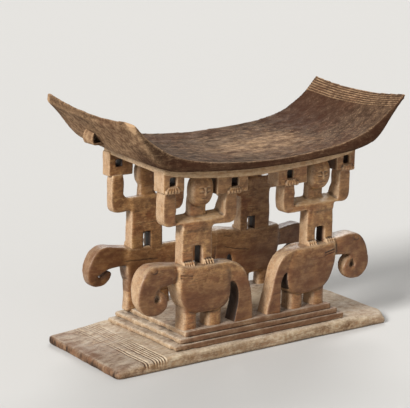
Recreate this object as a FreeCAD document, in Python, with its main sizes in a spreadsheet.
import FreeCAD, Part
import Sketcher
import os
import re

# A carved wooden stool: a base board, a stepped plinth, four elephants, four figures that stand
# on their backs and hold up pierced blocks, and a curved seat on a bearer plate.
# The real stool is cut from one log. Each carved form is a solid of its own here, and they meet
# face to face. Millimetres, +X to the stool's right end, -Y to its front, +Z up, and the origin
# under the middle of the base.

# Driving sizes: name, value, what it measures

SIZES = [
    ("StoolHeight", 407, "floor to the seat's highest corner, at the back of its left end"),
    ("BaseLength", 560, "base board, end to end"),
    ("BaseWidth", 213, "base board, front to back"),
    ("BaseThickness", 22, "base board under the plinth"),
    ("BaseEndThickness", 13, "base board at its ends"),
    ("BaseCornerRound", 8, "plan radius of the base board's corners"),
    ("BaseChipLength", 21, "length that the worn front right corner has lost"),
    ("BaseChipWidth", 39, "width that the worn front right corner has lost"),
    ("BaseRimRound", 4, "worn rim of the base board"),
    ("PlinthLength", 344, "lowest step, end to end"),
    ("PlinthWidth", 196, "lowest step, front to back"),
    ("StepHeight", 9, "rise of each of the three steps"),
    ("EndTread", 12, "tread of a step at the ends"),
    ("SideTread", 3.3, "tread of a step at the front and back"),
    ("ElephantHeight", 102, "plinth to the elephants' backs"),
    ("RowFace", 88, "middle of the stool to the outer faces of the elephants"),
    ("ElephantDepth", 38, "an elephant's body, front to back"),
    ("HeadDepth", 29, "an elephant's head and trunk, front to back"),
    ("LegDepth", 31, "an elephant's legs and tail, front to back"),
    ("ChestReach", 158, "middle of the stool to an elephant's chest"),
    ("RumpReach", 54, "middle of the stool to an elephant's rump"),
    ("ChestRound", 27, "radius under the chest"),
    ("RumpRound", 13, "radius under the rump"),
    ("ForelegReach", 147, "middle of the stool to the front of a foreleg"),
    ("ForelegWidth", 29, "a foreleg, front to back of the elephant"),
    ("HindlegReach", 100, "middle of the stool to the front of a hind leg"),
    ("HindlegWidth", 33, "a hind leg, front to back of the elephant"),
    ("TailRound", 27, "radius from an elephant's back into its tail"),
    ("TailJoin", 7, "top of a tail's slit to where the tail is widest"),
    ("BellyRounding", 5, "rounded edges of an elephant's body"),
    ("SmallRounding", 2, "rounded edges of the smaller forms"),
    ("FigureFace", 80, "middle of the stool to the figures' chests"),
    ("FigureDepth", 26, "a figure, front to back"),
    ("UpperArmThickness", 26, "an upper arm, top to bottom"),
    ("FootReach", 7, "how far a figure's feet stand out before its legs"),
    ("FootHeight", 8, "height of a figure's feet"),
    ("CrownSink", 3, "how far the round of a figure's head would run up past the bearer"),
    ("NeckWidth", 34, "a figure's neck"),
    ("NeckDepth", 22, "a figure's neck, front to back"),
    ("NeckHeight", 5, "a figure's neck, shoulders to chin"),
    ("FaceWidth", 48, "a figure's head across"),
    ("FaceDepth", 31, "a figure's head, front to back"),
    ("ArmDepth", 24, "an arm, front to back"),
    ("ForearmWidth", 24, "a forearm across"),
    ("ElbowRound", 9, "radius round an elbow"),
    ("OuterReach", 66, "figure's middle to the outside of its outer arm"),
    ("InnerReach", 76, "figure's middle to the inside of its inner arm"),
    ("BlockFace", 84.5, "middle of the stool to the outer faces of the blocks"),
    ("BlockDepth", 28, "a pierced block, front to back"),
    ("OuterBlockWidth", 36, "pierced block over an outer arm"),
    ("InnerBlockWidth", 60, "pierced block over an inner arm"),
    ("OuterOverhang", 4, "how far an outer block stands out past its forearm"),
    ("InnerOverhang", 16, "how far an inner block stands out past its forearm"),
    ("HoleWidth", 12.5, "square hole through a block"),
    ("HoleHeight", 12, "square hole through a block"),
    ("HoleLift", 8.5, "block's underside to its hole"),
    ("BackLift", 6, "how much higher the back figures hold their blocks"),
    ("BearerLength", 378, "bearer plate, end to end"),
    ("BearerWidth", 171, "bearer plate, front to back"),
    ("BearerThickness", 17, "bearer plate in the middle"),
    ("BearerEndThickness", 12, "bearer plate at its ends"),
    ("SeatLength", 546, "seat, tip to tip"),
    ("SeatWidth", 228, "seat across its ends"),
    ("SeatWaist", 216, "seat across its middle"),
    ("SeatThickness", 13, "seat at its middle"),
    ("SeatTipThickness", 10.5, "seat at its tips"),
    ("SeatRise", 84.4, "how far the tips stand above the middle"),
    ("SeatDish", 8.5, "hollow of the seat from front to back, at its ends"),
    ("SeatBackRise", 11, "how much higher the back edge was carved than the front"),
    ("LugInset", 25, "the seat's left tip to the outside of the carved lug"),
    ("LugDrop", 22, "how far the lug's outer side hangs below the seat"),
    ("LugLength", 28, "lug, front to back"),
    ("LugOffset", 30, "middle of the stool to the middle of the lug, towards the back"),
    ("LugStrap", 3.6, "thickness of the lug's strap"),
    ("LugRooting", 4, "how far the lug's strap runs up into the seat before trimming"),
    ("Overrun", 10, "how far cutting shapes run past what they cut"),
]

# Where each elephant and figure differs from its neighbours. They are hand carved, and no two are
# alike. Side is -1 on the left and row is -1 at the front. The throat's share is of the height from
# the trunk's lowest point to the crown, and the depth's share is of the depths above, because the
# back pair was carved thinner. The notes below say what the sizes measure.

CORNERS = {
    "front_left": {
        "side": -1, "row": -1, "throat_share": 0.50, "depth_share": 1,
        "TailReach": 15, "TailTopReach": 21, "TailFootWidth": 33,
        "TrunkReach": 231, "HeadTop": 117, "TrunkBottom": 32,
        "FigureMiddle": 119, "TorsoWidth": 60, "TorsoOffset": 0, "FaceOffset": 6,
        "LegSlotWidth": 16, "LegSlotHeight": 31, "LegSlotOffset": 1,
    },
    "front_right": {
        "side": 1, "row": -1, "throat_share": 0.50, "depth_share": 1,
        "TailReach": 15, "TailTopReach": 21, "TailFootWidth": 33,
        "TrunkReach": 233, "HeadTop": 117, "TrunkBottom": 32,
        "FigureMiddle": 125, "TorsoWidth": 60, "TorsoOffset": -6, "FaceOffset": -1,
        "LegSlotWidth": 18, "LegSlotHeight": 29, "LegSlotOffset": 1,
    },
    "back_left": {
        "side": -1, "row": 1, "throat_share": 0.46, "depth_share": 0.74,
        "TailReach": 2, "TailTopReach": -18, "TailFootWidth": 33,
        "TrunkReach": 230, "HeadTop": 114, "TrunkBottom": 45,
        "FigureMiddle": 121, "TorsoWidth": 64, "TorsoOffset": 2, "FaceOffset": 1,
        "LegSlotWidth": 13, "LegSlotHeight": 21, "LegSlotOffset": -0.5,
    },
    "back_right": {
        "side": 1, "row": 1, "throat_share": 0.50, "depth_share": 0.74,
        "TailReach": 30, "TailTopReach": 18, "TailFootWidth": 16,
        "TrunkReach": 236, "HeadTop": 99, "TrunkBottom": 32,
        "FigureMiddle": 104, "TorsoWidth": 67, "TorsoOffset": 1.5, "FaceOffset": 1,
        "LegSlotWidth": 15, "LegSlotHeight": 21, "LegSlotOffset": 8,
    },
}
CORNER_NOTES = {
    "TailReach": "middle of the stool to the foot of this tail",
    "TailTopReach": "middle of the stool to the top of this tail, negative where it crosses over",
    "TailFootWidth": "foot of this tail on the plinth",
    "TrunkReach": "middle of the stool to the front of this trunk",
    "HeadTop": "plinth to the top of this elephant's head",
    "TrunkBottom": "plinth to the lowest point of this trunk",
    "FigureMiddle": "middle of the stool to the middle of this figure",
    "TorsoWidth": "this figure across the body",
    "TorsoOffset": "this figure's middle to the middle of its body, inward",
    "FaceOffset": "this figure's middle to the middle of its head, inward",
    "LegSlotWidth": "slot between this figure's legs",
    "LegSlotHeight": "height of the slot between this figure's legs",
    "LegSlotOffset": "middle of this figure's body to the middle of the slot, inward",
}

# Each figure's two hands: which way they reach from its middle, the sizes that they use, the
# underside of their block as a share of the figure's height, and whether the block also has to
# follow the bearer's rise towards its ends

HANDS = {
    "outer": {"way": 1, "reach": "OuterReach", "width": "OuterBlockWidth",
              "overhang": "OuterOverhang", "bottom_share": 0.934, "rise_share": 1},
    "inner": {"way": -1, "reach": "InnerReach", "width": "InnerBlockWidth",
              "overhang": "InnerOverhang", "bottom_share": 0.830, "rise_share": 0},
}

# For telling edges apart: where the base board's rim starts, how near counts as the same place,
# and how straight counts as along an axis

RIM_SHARE = 0.9
TOLERANCE = 1e-3
STRAIGHT_SHARE = 0.999999

doc = FreeCAD.newDocument("CarvedStool")
sheet = doc.addObject("Spreadsheet::Sheet", "Sizes")


def own(name, corner):
    # the name in the sheet of a size that one corner has for itself
    return name + corner.title().replace("_", "")


rows = list(SIZES)
for corner, values in CORNERS.items():
    rows += [(own(name, corner), values[name], note) for name, note in CORNER_NOTES.items()]
for line, (name, value, note) in enumerate(rows, start=1):
    sheet.set(f"A{line}", name)
    sheet.set(f"B{line}", str(value))
    sheet.setAlias(f"B{line}", name)
    sheet.set(f"C{line}", note)
doc.recompute()

# Small tools for sizes and sketches


def linked(text):
    # "BaseLength / 2" becomes "Sizes.BaseLength / 2", which any object can read
    return re.sub(r"\b([A-Z]\w+)", r"Sizes.\1", text)


def measure(text):
    return float(sheet.evalExpression(linked(text)))


def bind(thing, **bindings):
    for name, text in bindings.items():
        thing.setExpression(name.replace("__", "."), linked(text))


def make_body(name):
    body = doc.addObject("PartDesign::Body", name)
    body.Label = name
    return body


def new_sketch(body, plane):
    sketch = body.newObject("Sketcher::SketchObject", body.Name + "_outline")
    support = [part for part in body.Origin.OriginFeatures if part.Role == plane]
    sketch.AttachmentSupport = (support[0], [""])
    sketch.MapMode = "FlatFace"
    return sketch


def hold(sketch, shape, end, across, up):
    # fixes one end of a line, arc or point at two sizes, measured from the sketch's origin
    for kind, axis, text in (("DistanceX", -2, across), ("DistanceY", -1, up)):
        if text == "0":
            sketch.addConstraint(Sketcher.Constraint("PointOnObject", shape, end, axis))
        else:
            rule = Sketcher.Constraint(kind, -1, 1, shape, end, measure(text))
            sketch.setExpression(f"Constraints[{sketch.addConstraint(rule)}]", linked(text))


def draw_outline(body, plane, points):
    # a closed outline of straight lines through points written as sizes
    sketch = new_sketch(body, plane)
    spots = [FreeCAD.Vector(measure(across), measure(up), 0) for across, up in points]
    following = [(line + 1) % len(spots) for line in range(len(spots))]
    for line, after in enumerate(following):
        sketch.addGeometry(Part.LineSegment(spots[line], spots[after]), False)
    for line, after in enumerate(following):
        sketch.addConstraint(Sketcher.Constraint("Coincident", line, 2, after, 1))
        hold(sketch, line, 1, *points[line])
    return sketch


def rectangle(low_across, low_up, high_across, high_up):
    return [(low_across, low_up), (high_across, low_up), (high_across, high_up), (low_across, high_up)]


def pad(body, sketch, depth):
    feature = body.newObject("PartDesign::Pad", body.Name + "_pad")
    feature.Profile = sketch
    feature.SideType = "Symmetric"
    bind(feature, Length=depth)
    sketch.Visibility = False
    return feature


def rise(body, sketch, height):
    feature = body.newObject("PartDesign::Pad", body.Name + "_pad")
    feature.Profile = sketch
    bind(feature, Length=height)
    return feature


def pierce(body, sketch, depth):
    # cuts right through, and proves that wood came away
    doc.recompute()
    before = body.Shape.Volume
    feature = body.newObject("PartDesign::Pocket", body.Name + "_pocket")
    feature.Profile = sketch
    feature.SideType = "Symmetric"
    bind(feature, Length=depth)
    doc.recompute()
    if body.Shape.Volume >= before:
        raise RuntimeError(body.Name + ": the pocket cuts nothing")
    return feature


def round_edges(body, radius, wanted):
    # rounds the edges of the body's tip for which wanted(edge, box) is true
    doc.recompute()
    base = body.Tip
    box = base.Shape.BoundBox
    edges = enumerate(base.Shape.Edges, start=1)
    names = [f"Edge{number}" for number, edge in edges if wanted(edge, box)]
    feature = body.newObject("PartDesign::Fillet", body.Name + "_rounding")
    feature.Base = (base, names)
    bind(feature, Radius=radius)
    return feature


def runs_along(edge, axis):
    # true for a straight edge along one of the axes
    if not isinstance(edge.Curve, (Part.Line, Part.LineSegment)):
        return False
    ends = [vertex.Point for vertex in edge.Vertexes]
    return abs((ends[1] - ends[0]).normalize().dot(axis)) > STRAIGHT_SHARE


def place(thing, y):
    bind(thing, Placement__Base__y=y)


def trim(name, blank, tools):
    # what is left of a blank once the forms that it meets have been taken from it
    for number, tool in enumerate(tools, start=1):
        cut = doc.addObject("Part::Cut", f"{name}_cut{number}")
        cut.Base = blank
        cut.Tool = tool
        blank = cut
    blank.Label = name
    return blank


ALONG_Y = FreeCAD.Vector(0, 1, 0)
ALONG_Z = FreeCAD.Vector(0, 0, 1)
nodes = []

# Base board, thinner at its ends, with rounded corners and one corner worn away


def make_base_board():
    body = make_body("base_board")
    side = draw_outline(body, "XZ_Plane", [
        ("-BaseLength / 2", "0"), ("BaseLength / 2", "0"),
        ("BaseLength / 2", "BaseEndThickness"), ("PlinthLength / 2", "BaseThickness"),
        ("-PlinthLength / 2", "BaseThickness"), ("-BaseLength / 2", "BaseEndThickness"),
    ])
    pad(body, side, "BaseWidth")
    worn = draw_outline(body, "XY_Plane", [
        ("BaseLength / 2 - BaseChipLength", "-BaseWidth / 2"),
        ("BaseLength / 2 - BaseChipLength", "-BaseWidth / 2 - Overrun"),
        ("BaseLength / 2 + Overrun", "-BaseWidth / 2 - Overrun"),
        ("BaseLength / 2 + Overrun", "-BaseWidth / 2 + BaseChipWidth"),
        ("BaseLength / 2", "-BaseWidth / 2 + BaseChipWidth"),
    ])
    pierce(body, worn, "2 * BaseThickness + Overrun")
    chip = measure("BaseLength / 2 - BaseChipLength - Overrun")

    def is_corner(edge, box):
        worn_away = edge.CenterOfMass.x > chip and edge.CenterOfMass.y < 0
        return runs_along(edge, ALONG_Z) and not worn_away

    def is_rim(edge, box):
        middle = edge.CenterOfMass
        near_rim = abs(middle.x) > RIM_SHARE * box.XMax or abs(middle.y) > RIM_SHARE * box.YMax
        return near_rim and middle.z > 0 and not runs_along(edge, ALONG_Z)

    round_edges(body, "BaseCornerRound", is_corner)
    round_edges(body, "BaseRimRound", is_rim)
    nodes.append(body)


# Plinth of three steps


def make_plinth():
    for number, name in enumerate(("plinth_lower_step", "plinth_middle_step", "plinth_upper_step")):
        body = make_body(name)
        half_length = f"(PlinthLength / 2 - {number} * EndTread)"
        half_width = f"(PlinthWidth / 2 - {number} * SideTread)"
        plan = draw_outline(body, "XY_Plane", rectangle(
            f"-{half_length}", f"-{half_width}", half_length, half_width))
        rise(body, plan, "StepHeight")
        bind(body, Placement__Base__z=f"BaseThickness + {number} * StepHeight")
        nodes.append(body)


PLINTH_TOP = "(BaseThickness + 3 * StepHeight)"
BACK_TOP = f"({PLINTH_TOP} + ElephantHeight)"

# Seat and bearer, each lofted through cross-sections at these stations. Shares: distance from the
# middle, rise of the upper edge, rise of the underside, how far the width has opened from the
# waist, hollow on top, hollow underneath, and then the back edge's extra rise on the left and right.

SEAT_STATION_SHARES = [
    (0.000, 0.000, 0.000, 0.00, 0.45, 0.05, 1.00, 1.00),
    (0.330, 0.052, 0.034, 0.15, 0.50, 0.05, 1.00, 0.90),
    (0.530, 0.144, 0.083, 0.35, 0.60, 0.08, 1.00, 0.65),
    (0.692, 0.299, 0.153, 0.55, 0.75, 0.15, 1.00, 0.30),
    (0.777, 0.440, 0.250, 0.70, 0.85, 0.35, 1.00, 0.10),
    (0.864, 0.640, 0.500, 0.85, 0.95, 0.70, 1.00, -0.20),
    (0.934, 0.830, 0.780, 0.95, 1.00, 0.90, 1.05, -0.20),
    (1.000, 1.000, 1.000, 1.00, 1.00, 1.00, 1.10, 0.10),
]
BEARER_STATIONS = 4
HIGHEST_SHARE = SEAT_STATION_SHARES[-1][6]
SEAT_UNDER = f"(StoolHeight - {HIGHEST_SHARE} * SeatBackRise - SeatRise - SeatThickness)"
BEARER_UNDER = f"({SEAT_UNDER} - BearerThickness)"
FIGURE_HEIGHT = f"({BEARER_UNDER} - {BACK_TOP})"
SHOULDER_SHARE = 0.695
SHOULDERS = f"({BACK_TOP} + {SHOULDER_SHARE} * {FIGURE_HEIGHT})"
UNDER_RISE = "(SeatRise + SeatThickness - SeatTipThickness)"


def seat_stations(count):
    # the stations from the left end to the right end: side, then that station's shares
    one_side = SEAT_STATION_SHARES[:count]
    left = [(-1, *shares[:6], shares[6]) for shares in reversed(one_side[1:])]
    right = [(1, *shares[:6], shares[7]) for shares in one_side]
    return left + right


def seat_section(side, along, top, under, opened, hollow_top, hollow_under, back):
    # the sizes of one cross-section of the seat, as text for the sketches
    half_width = f"((SeatWaist + {opened} * (SeatWidth - SeatWaist)) / 2)"
    return {
        "x": f"{side * along} * SeatLength / 2",
        "half_width": half_width,
        "under": f"({SEAT_UNDER} + {under} * {UNDER_RISE})",
        "top": f"({SEAT_UNDER} + SeatThickness + {top} * SeatRise)",
        "back": f"({back} * SeatBackRise)",
        "hollow_top": f"({hollow_top} * SeatDish)",
        "hollow_under": f"({hollow_under} * SeatDish)",
    }


def add_bowed_edge(sketch, half_width, front, back, hollow):
    # an arc from the front edge to the back edge whose middle hangs lower by the hollow
    ends = [FreeCAD.Vector(-measure(half_width), measure(front), 0),
            FreeCAD.Vector(measure(half_width), measure(back), 0)]
    middle = f"({front} + {back}) / 2 - {hollow}"
    lowest = FreeCAD.Vector(0, measure(middle), 0)
    arc = sketch.addGeometry(Part.Arc(ends[0], lowest, ends[1]), False)
    mark = sketch.addGeometry(Part.Point(lowest), True)
    hold(sketch, arc, 1, f"-{half_width}", front)
    hold(sketch, arc, 2, half_width, back)
    hold(sketch, mark, 1, "0", middle)
    sketch.addConstraint(Sketcher.Constraint("PointOnObject", mark, 1, arc))
    return arc, ends


def add_side(sketch, lower, upper, end, spots):
    side = sketch.addGeometry(Part.LineSegment(*spots), False)
    sketch.addConstraint(Sketcher.Constraint("Coincident", side, 1, lower, end))
    sketch.addConstraint(Sketcher.Constraint("Coincident", side, 2, upper, end))


def loft(body, sections):
    feature = body.newObject("PartDesign::AdditiveLoft", body.Name + "_loft")
    feature.Profile = sections[0]
    feature.Sections = sections[1:]
    return feature


def make_seat():
    body = make_body("seat")
    sections = []
    for station in seat_stations(len(SEAT_STATION_SHARES)):
        size = seat_section(*station)
        sketch = new_sketch(body, "YZ_Plane")
        bind(sketch, AttachmentOffset__Base__z=size["x"])
        half_width = size["half_width"]
        lower, low_ends = add_bowed_edge(
            sketch, half_width, size["under"], f"({size['under']} + {size['back']})", size["hollow_under"])
        upper, high_ends = add_bowed_edge(
            sketch, half_width, size["top"], f"({size['top']} + {size['back']})", size["hollow_top"])
        add_side(sketch, lower, upper, 1, (low_ends[0], high_ends[0]))
        add_side(sketch, lower, upper, 2, (low_ends[1], high_ends[1]))
        sections.append(sketch)
    loft(body, sections)
    nodes.append(body)
    return body


def make_bearer(seat):
    # its blank reaches a little way up into the seat, which then trims it to the seat's underside
    blank = make_body("bearer_blank")
    sections = []
    half = "(BearerWidth / 2)"
    for station in seat_stations(BEARER_STATIONS):
        size = seat_section(*station)
        end_share = station[1] / SEAT_STATION_SHARES[BEARER_STATIONS - 1][0]
        thickness = f"(BearerThickness + {end_share ** 2} * (BearerEndThickness - BearerThickness))"
        # the bearer is narrower than the seat, so it takes up less of the back edge's rise
        lean = f"({size['back']} * BearerWidth / SeatWidth)"
        front = f"({size['under']} + ({size['back']} - {lean}) / 2)"
        inside = "(SeatThickness - SeatDish) / 2"
        sketch = draw_outline(blank, "YZ_Plane", [
            (f"-{half}", f"{front} - {thickness}"), (half, f"{front} + {lean} - {thickness}"),
            (half, f"{front} + {lean} + {inside}"), (f"-{half}", f"{front} + {inside}"),
        ])
        bind(sketch, AttachmentOffset__Base__z=f"{station[0] * end_share} * BearerLength / 2")
        sections.append(sketch)
    loft(blank, sections)
    nodes.append(trim("seat_bearer", blank, [seat]))
    return blank


def bearer_end_rise():
    # how much higher the bearer's underside is at its ends than in its middle
    under_share = SEAT_STATION_SHARES[BEARER_STATIONS - 1][2]
    return f"({under_share} * {UNDER_RISE} + BearerThickness - BearerEndThickness)"


def make_lug(seat):
    # a strap under the left end of the seat, which leaves a three-cornered hole along Y
    blank = make_body("lug_blank")
    near, far = SEAT_STATION_SHARES[-4], SEAT_STATION_SHARES[-2]
    slope = f"({far[2] - near[2]} * {UNDER_RISE} / ({far[0] - near[0]} * SeatLength / 2))"
    level = f"({SEAT_UNDER} + {near[2]} * {UNDER_RISE})"

    def under_at(reach):
        return f"({level} + ({reach} - {near[0]} * SeatLength / 2) * {slope})"

    outer = "(SeatLength / 2 - LugInset)"
    inner = f"({outer} - LugStrap)"
    bottom = f"({under_at(outer)} - LugDrop)"
    foot = f"({outer} - LugDrop / {slope} - LugRooting)"
    strap = draw_outline(blank, "XZ_Plane", [
        (f"-{outer}", bottom), (f"-{foot}", bottom),
        (f"-{foot}", f"{bottom} + LugStrap"), (f"-{inner}", f"{bottom} + LugStrap"),
        (f"-{inner}", f"{under_at(inner)} + LugRooting"),
        (f"-{outer}", f"{under_at(outer)} + LugRooting"),
    ])
    pad(blank, strap, "LugLength")
    place(blank, "LugOffset")
    round_edges(blank, "LugStrap / 2", lambda edge, box: runs_along(edge, ALONG_Y)
                and edge.CenterOfMass.z < box.ZMin + measure("LugStrap / 2")
                and edge.CenterOfMass.x < box.XMin + measure("LugStrap / 2"))
    nodes.append(trim("seat_lug", blank, [seat]))


# Elephants. The outline of the head and trunk is in shares of the trunk's reach past the chest
# and of the height from the trunk's lowest point to the top of the head.

CROWN_SHARES = [(0.27, 0.965), (0.85, 1.0)]
FOREHEAD_ARC_SHARES = [(0.965, 0.82), (1.0, 0.52)]
TRUNK_ARC_SHARES = [(0.88, 0.13), (0.51, 0.0)]
CURL_ARC_SHARES = [(0.27, 0.13), (0.29, 0.33)]
TIP_SHARES = (0.385, 0.42)
HOLLOW_ARC_SHARES = [(0.455, 0.33), (0.53, 0.27), (0.605, 0.34)]
CHIN_SHARE = 0.18
CHIN_RISE_SHARE = 0.09

# Heights of the belly at the rump and at the chest, and of the top of the slit behind the tail,
# as shares of an elephant's height

RUMP_BELLY_SHARE = 0.22
CHEST_BELLY_SHARE = 0.28
SLIT_TOP_SHARE = 0.65


def depth_of(name, corner):
    # a depth, front to back, as this corner has it
    return f"({CORNERS[corner]['depth_share']} * {name})"


def elephant_middle(corner, row):
    return f"{row} * (RowFace - {depth_of('ElephantDepth', corner)} / 2)"


def make_head(corner, side, row):
    # the shape is worked out in the XZ plane from the sheet's sizes, then given its depth
    chest = measure("ChestReach")
    bottom = measure(f"{PLINTH_TOP} + {own('TrunkBottom', corner)}")
    long = measure(f"{own('TrunkReach', corner)} - ChestReach")
    tall = measure(f"{PLINTH_TOP} + {own('HeadTop', corner)}") - bottom
    depth = measure(depth_of("HeadDepth", corner))
    throat = CORNERS[corner]["throat_share"]

    def spot(shares):
        return FreeCAD.Vector(side * (chest + shares[0] * long), -depth / 2, bottom + shares[1] * tall)

    back_top = (0, (measure(BACK_TOP) - bottom) / tall)
    chin = (0, throat + CHIN_RISE_SHARE)
    bounds = [back_top, *CROWN_SHARES]
    edges = [Part.LineSegment(spot(a), spot(b)) for a, b in zip(bounds, bounds[1:])]
    start = CROWN_SHARES[-1]
    for middle, end in (FOREHEAD_ARC_SHARES, TRUNK_ARC_SHARES, CURL_ARC_SHARES):
        edges.append(Part.Arc(spot(start), spot(middle), spot(end)))
        start = end
    hollow_start, hollow_low, hollow_end = HOLLOW_ARC_SHARES
    edges.append(Part.LineSegment(spot(start), spot(TIP_SHARES)))
    edges.append(Part.LineSegment(spot(TIP_SHARES), spot(hollow_start)))
    edges.append(Part.Arc(spot(hollow_start), spot(hollow_low), spot(hollow_end)))
    jaw = [hollow_end, (hollow_end[0], throat), (CHIN_SHARE, throat), chin, back_top]
    edges += [Part.LineSegment(spot(a), spot(b)) for a, b in zip(jaw, jaw[1:])]
    face = Part.Face(Part.Wire([edge.toShape() for edge in edges]))
    head = doc.addObject("Part::Feature", f"elephant_head_{corner}")
    head.Shape = face.extrude(FreeCAD.Vector(0, depth, 0))
    head.Label = f"elephant_head_{corner}"
    place(head, elephant_middle(corner, row))
    nodes.append(head)


def make_elephant(corner, side, row):
    middle = elephant_middle(corner, row)
    belly = f"({PLINTH_TOP} + {RUMP_BELLY_SHARE} * ElephantHeight)"
    belly_front = f"({PLINTH_TOP} + {CHEST_BELLY_SHARE} * ElephantHeight)"

    body = make_body(f"elephant_body_{corner}")
    sketch = draw_outline(body, "XZ_Plane", [
        (f"{side} * RumpReach", BACK_TOP), (f"{side} * RumpReach", belly),
        (f"{side} * ChestReach", belly_front), (f"{side} * ChestReach", BACK_TOP),
    ])
    pad(body, sketch, depth_of("ElephantDepth", corner))
    place(body, middle)
    level = measure(BACK_TOP) - measure("BellyRounding")
    halfway = measure("(RumpReach + ChestReach) / 2")
    round_edges(body, "ChestRound", lambda edge, box: runs_along(edge, ALONG_Y)
                and edge.CenterOfMass.z < level and abs(edge.CenterOfMass.x) > halfway)
    round_edges(body, "RumpRound", lambda edge, box: runs_along(edge, ALONG_Y)
                and edge.CenterOfMass.z < measure(belly) + TOLERANCE)
    round_edges(body, "BellyRounding", lambda edge, box: not runs_along(edge, ALONG_Y)
                and edge.CenterOfMass.z < measure(BACK_TOP) - measure("ChestRound")
                and not runs_along(edge, ALONG_Z))
    nodes.append(body)

    tail = make_body(f"elephant_tail_{corner}")
    tail_reach = own("TailReach", corner)
    slit_top = f"({PLINTH_TOP} + {SLIT_TOP_SHARE} * ElephantHeight)"
    tail_top = f"{side} * {own('TailTopReach', corner)}"
    sketch = draw_outline(tail, "XZ_Plane", [
        (f"{side} * RumpReach", BACK_TOP), (f"{side} * RumpReach", slit_top),
        (f"{side} * ({tail_reach} + {own('TailFootWidth', corner)})", PLINTH_TOP),
        (f"{side} * {tail_reach}", PLINTH_TOP),
        (tail_top, f"{slit_top} + TailJoin"), (tail_top, BACK_TOP),
    ])
    pad(tail, sketch, depth_of("LegDepth", corner))
    place(tail, middle)
    if row < 0:
        # the back pair's tails grow into each other and have no rounded tops
        round_edges(tail, "TailRound", lambda edge, box: runs_along(edge, ALONG_Y)
                    and edge.CenterOfMass.z > level
                    and abs(edge.CenterOfMass.x) < measure("RumpReach") - measure("SmallRounding"))
    nodes.append(tail)

    for leg in ("Foreleg", "Hindleg"):
        blank = make_body(f"{leg.lower()}_blank_{corner}")
        sketch = draw_outline(blank, "XZ_Plane", rectangle(
            f"{side} * {leg}Reach", PLINTH_TOP,
            f"{side} * ({leg}Reach - {leg}Width)", f"{belly} + ChestRound"))
        pad(blank, sketch, depth_of("LegDepth", corner))
        place(blank, middle)
        round_edges(blank, "SmallRounding", lambda edge, box: runs_along(edge, ALONG_Z))
        nodes.append(trim(f"elephant_{leg.lower()}_{corner}", blank, [body]))
    make_head(corner, side, row)


# Figures


def figure_lift(row):
    return "BackLift" if row > 0 else "0"


def block_bottom(hand, row):
    # where a hand meets the underside of its block
    return f"({BACK_TOP} + {HANDS[hand]['bottom_share']} * {FIGURE_HEIGHT} + {figure_lift(row)})"


def figure_row(corner, row):
    # the middle of a figure, front to back
    return f"{row} * (FigureFace - {depth_of('FigureDepth', corner)} / 2)"


def torso_side(corner, side, middle, way):
    # the left (-1) or right (1) side of a figure's body
    offset, width = own("TorsoOffset", corner), own("TorsoWidth", corner)
    return f"({middle} - {side} * {offset} + {way} * {width} / 2)"


def make_torso(corner, side, row, middle):
    body = make_body(f"figure_torso_{corner}")
    left, right = (torso_side(corner, side, middle, way) for way in (-1, 1))
    sketch = draw_outline(body, "XZ_Plane", rectangle(
        left, BACK_TOP, right, SHOULDERS))
    depth = depth_of("FigureDepth", corner)
    pad(body, sketch, depth)
    feet = draw_outline(body, "XY_Plane", rectangle(
        left, f"{row} * {depth} / 2", right, f"{row} * ({depth} / 2 + FootReach)"))
    bind(feet, AttachmentOffset__Base__z=BACK_TOP)
    rise(body, feet, "FootHeight")
    slot_middle = f"(({left} + {right}) / 2 - {side} * {own('LegSlotOffset', corner)})"
    slot_width = own("LegSlotWidth", corner)
    slot = draw_outline(body, "XZ_Plane", rectangle(
        f"{slot_middle} - {slot_width} / 2", f"{BACK_TOP} - Overrun",
        f"{slot_middle} + {slot_width} / 2", f"{BACK_TOP} + {own('LegSlotHeight', corner)}"))
    pierce(body, slot, f"{depth} + 2 * (FootReach + Overrun)")
    place(body, figure_row(corner, row))
    nodes.append(body)


def make_face(corner, side, row, middle, bearer):
    # a neck and an egg-shaped head, whose crown meets the bearer
    blank = make_body(f"head_blank_{corner}")
    crown = f"({BEARER_UNDER} + {figure_lift(row)} + CrownSink + {bearer_end_rise()} / 2)"
    half_height = f"(({crown} - {SHOULDERS} - NeckHeight) / 2)"
    head_middle = f"({middle} - {side} * {own('FaceOffset', corner)})"
    egg_middle = f"({SHOULDERS} + NeckHeight + {half_height})"
    neck = draw_outline(blank, "XZ_Plane", rectangle(
        f"{head_middle} - NeckWidth / 2", SHOULDERS,
        f"{head_middle} + NeckWidth / 2", egg_middle))
    pad(blank, neck, depth_of("NeckDepth", corner))
    egg = blank.newObject("PartDesign::AdditiveEllipsoid", blank.Name + "_egg")
    bind(egg, Radius1=half_height, Radius2="FaceWidth / 2",
         Radius3=f"{depth_of('FaceDepth', corner)} / 2",
         Placement__Base__x=head_middle, Placement__Base__z=egg_middle)
    place(blank, figure_row(corner, row))
    nodes.append(trim(f"figure_head_{corner}", blank, [bearer]))


def make_arm(corner, side, row, middle, hand):
    # an upper arm straight out from the shoulder, then a forearm straight up to the block it holds
    uses = HANDS[hand]
    outward = uses["way"] * side
    arm = make_body(f"figure_{hand}_arm_{corner}")
    bottom = f"({SHOULDERS} - UpperArmThickness)"
    grip = block_bottom(hand, row)
    joint = torso_side(corner, side, middle, outward)
    outside = f"({middle} + {outward} * {uses['reach']})"
    inside = f"({middle} + {outward} * ({uses['reach']} - ForearmWidth))"
    sketch = draw_outline(arm, "XZ_Plane", [
        (joint, bottom), (outside, bottom), (outside, grip),
        (inside, grip), (inside, SHOULDERS), (joint, SHOULDERS),
    ])
    pad(arm, sketch, depth_of("ArmDepth", corner))
    place(arm, figure_row(corner, row))
    elbow = measure(outside)
    round_edges(arm, "ElbowRound", lambda edge, box: runs_along(edge, ALONG_Y)
                and abs(edge.CenterOfMass.x - elbow) < TOLERANCE
                and edge.CenterOfMass.z < measure(SHOULDERS))
    nodes.append(arm)


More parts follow.
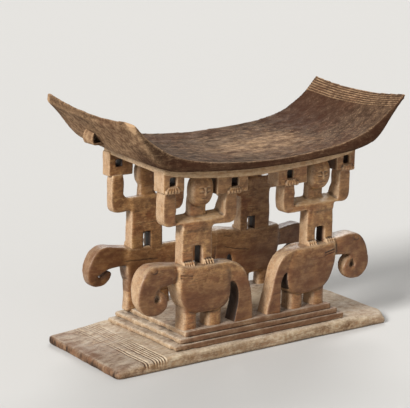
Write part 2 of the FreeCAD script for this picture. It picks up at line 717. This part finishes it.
def make_block(corner, side, row, middle, hand, bearer):
    # a block with a square hole from front to back, held between a hand and the bearer
    uses = HANDS[hand]
    outward = uses["way"] * side
    low = block_bottom(hand, row)
    # the blank runs up into the bearer
    high = (f"({BEARER_UNDER} + {figure_lift(row)} + BearerEndThickness / 2"
            f" + {uses['rise_share']} * {bearer_end_rise()})")
    outside = f"({middle} + {outward} * ({uses['reach']} + {uses['overhang']}))"
    inside = f"({outside} - {outward} * {uses['width']})"
    blank = make_body(f"{hand}_block_blank_{corner}")
    depth = depth_of("BlockDepth", corner)
    pad(blank, draw_outline(blank, "XZ_Plane", rectangle(outside, low, inside, high)), depth)
    hole_middle = f"(({outside} + {inside}) / 2)"
    hole = draw_outline(blank, "XZ_Plane", rectangle(
        f"{hole_middle} - HoleWidth / 2", f"{low} + HoleLift",
        f"{hole_middle} + HoleWidth / 2", f"{low} + HoleLift + HoleHeight"))
    pierce(blank, hole, f"{depth} + 2 * Overrun")
    place(blank, f"{row} * (BlockFace - {depth} / 2)")
    nodes.append(trim(f"{hand}_block_{corner}", blank, [bearer]))


def make_figure(corner, side, row, bearer):
    middle = f"({side} * {own('FigureMiddle', corner)})"
    make_torso(corner, side, row, middle)
    make_face(corner, side, row, middle, bearer)
    for hand in ("outer", "inner"):
        make_arm(corner, side, row, middle, hand)
        make_block(corner, side, row, middle, hand, bearer)


# The whole stool

make_base_board()
make_plinth()
seat_body = make_seat()
bearer_body = make_bearer(seat_body)
make_lug(seat_body)
for corner, values in CORNERS.items():
    make_elephant(corner, values["side"], values["row"])
    make_figure(corner, values["side"], values["row"], bearer_body)
doc.recompute()

# Every object has to be sound before anything is written

for thing in doc.Objects:
    if {"Invalid", "Error"} & set(thing.State):
        raise RuntimeError(f"{thing.Label} failed: {thing.State}")
for node in nodes:
    if node.Shape.isNull() or not node.Shape.isValid() or not node.Shape.Solids:
        raise RuntimeError(f"{node.Label} has no sound solid")
os.makedirs("parts", exist_ok=True)
for node in nodes:
    node.Shape.exportStep(f"parts/{node.Label}.step")
print(len(nodes), "parts written")
